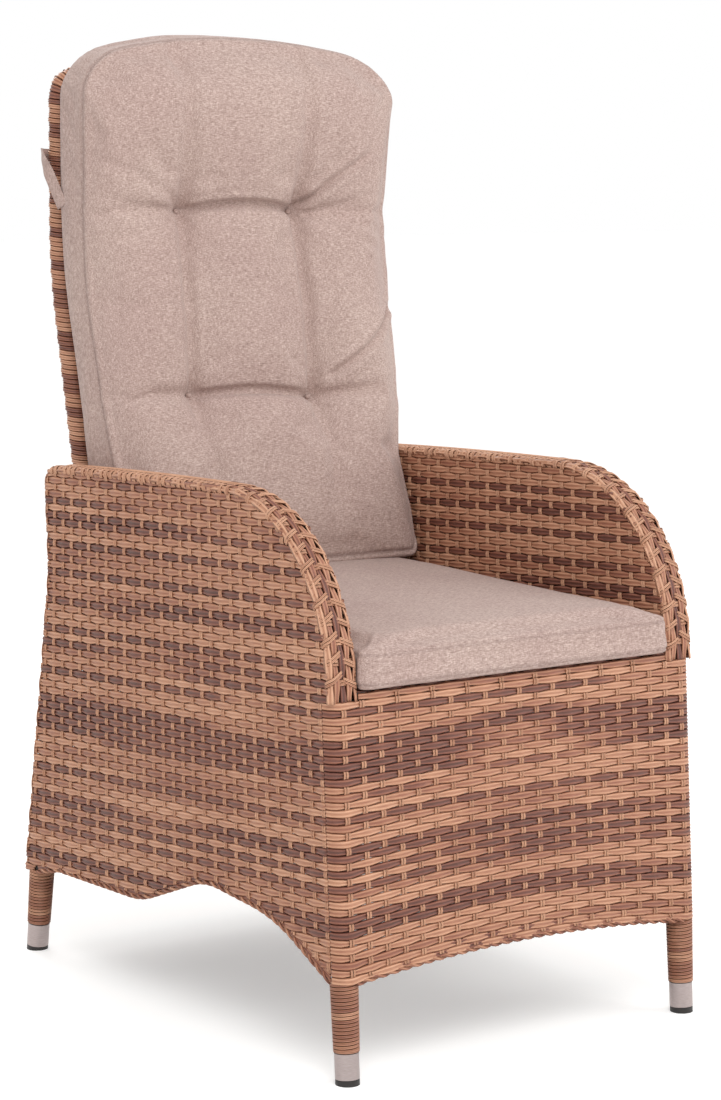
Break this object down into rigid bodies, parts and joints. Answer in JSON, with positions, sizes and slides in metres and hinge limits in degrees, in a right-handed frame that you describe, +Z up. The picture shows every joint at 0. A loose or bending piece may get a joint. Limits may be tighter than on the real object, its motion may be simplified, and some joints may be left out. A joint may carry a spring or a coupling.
{
  "type": "reclining armchair",
  "caption": "High-backed woven outdoor armchair with closed arms, loose seat and tufted back cushions, and a back that reclines on a gas spring.",
  "frame": {"origin": "on the floor, midway between the four feet, at the middle of the chair's footprint", "axes": "+Z up, the chair faces -Y, +X is to the right for a viewer standing in front of it"},
  "size_m": [0.5057, 0.6881, 1.111],
  "materials": {
    "frame_tube": "brown powder-coated aluminium tube",
    "weave": "ribbed half-round polyethylene strand, woven, tan and brown",
    "weave_border": "polyethylene strand, wrapped border",
    "leg_wrap": "thin polyethylene strand wound tight",
    "cushion_fabric": "melange woven polyester, greige",
    "sleeve_steel": "brushed",
    "glide_plastic": "moulded polyethylene, near black",
    "bracket_steel": "powder-coated pressed steel",
    "spring_black": "black enamel",
    "rod_chrome": "ground and plated",
    "cast_zinc": "die cast, tumbled",
    "bolt_steel": "zinc plated",
    "bush_nylon": "natural nylon",
    "grip_plastic": "moulded, fine texture"
  },
  "bodies": {
    "seat_frame": {"arm_border_left": "weave_border", "arm_border_right": "weave_border", "arm_inner_panel_left": "weave", "arm_inner_panel_right": "weave", "bottom_edge_cords": "weave_border", "foot_glide_front_left": "glide_plastic", "foot_glide_front_right": "glide_plastic", "foot_glide_rear_left": "glide_plastic", "foot_glide_rear_right": "glide_plastic", "foot_sleeve_front_left": "sleeve_steel", "foot_sleeve_front_right": "sleeve_steel", "foot_sleeve_rear_left": "sleeve_steel", "foot_sleeve_rear_right": "sleeve_steel", "front_leg_left": "frame_tube", "front_leg_right": "frame_tube", "front_lower_rail": "frame_tube", "front_panel": "weave", "hinge_bolts": "bolt_steel", "hinge_brackets": "bracket_steel", "leg_wrap_front_left": "leg_wrap", "leg_wrap_front_right": "leg_wrap", "leg_wrap_rear_left": "leg_wrap", "leg_wrap_rear_right": "leg_wrap", "lever_bracket": "bracket_steel", "rear_leg_left": "frame_tube", "rear_leg_right": "frame_tube", "rear_panel": "weave", "rear_panel_rails": "frame_tube", "seat_cross_bars": "frame_tube", "seat_cushion": "cushion_fabric", "seat_deck": "weave", "seat_front_rail": "frame_tube", "seat_rear_rail": "frame_tube", "seat_side_rails": "frame_tube", "side_lower_rails": "frame_tube", "side_panel_left": "weave", "side_panel_right": "weave", "spring_anchor_lugs": "bracket_steel", "spring_anchor_pin": "bolt_steel"},
    "back": {"back_side_tube_left": "frame_tube", "back_side_tube_right": "frame_tube", "back_top_rail": "frame_tube", "back_cross_bars": "frame_tube", "back_bottom_rail": "frame_tube", "back_front_panel": "weave", "back_rear_panel": "weave", "back_border": "weave_border", "back_cushion": "cushion_fabric", "cushion_strap": "cushion_fabric", "back_hinge_plates": "bracket_steel", "hinge_bushes": "bush_nylon", "spring_crank_lugs": "bracket_steel", "spring_crank_pin": "bolt_steel"},
    "spring_rod": {"gas_spring_rod": "rod_chrome", "release_head": "cast_zinc"},
    "spring_cylinder": {"gas_spring_cylinder": "spring_black", "gas_spring_eye": "spring_black"},
    "trigger": {"release_trigger": "cast_zinc"},
    "lever": {"release_lever": "bracket_steel", "lever_grip": "grip_plastic"}
  },
  "joints": [
    {"name": "recline", "type": "hinge", "parent": "seat_frame", "child": "back", "pos_m": [0, 0.237, 0.397], "axis": [-1, 0, 0], "range_deg": [0, 35]},
    {"name": "spring_swing", "type": "hinge", "parent": "seat_frame", "child": "spring_rod", "pos_m": [0, -0.012, 0.351], "axis": [1, 0, 0], "range_deg": [-1.5, 0.5]},
    {"name": "spring_stroke", "type": "slide", "parent": "spring_rod", "child": "spring_cylinder", "axis": [0, 1, 0.0012], "range_m": [-0.0305, 0]},
    {"name": "lever_lift", "type": "hinge", "parent": "seat_frame", "child": "lever", "pos_m": [0.2375, -0.06, 0.359], "axis": [-1, 0, 0], "range_deg": [0, 20], "stiffness_Nm_per_rad": 0.8},
    {"name": "trigger_lift", "type": "hinge", "parent": "spring_rod", "child": "trigger", "pos_m": [0, 0.00299, 0.35552], "axis": [-1, 0, 0], "range_deg": [0, 10.5]}
  ],
  "couplings": [
    {"joint": "spring_swing", "follows": "recline", "ratio": -0.03308},
    {"joint": "spring_stroke", "follows": "recline", "m_per_rad": -0.048549},
    {"joint": "trigger_lift", "follows": "lever_lift", "ratio": 0.5}
  ]
}
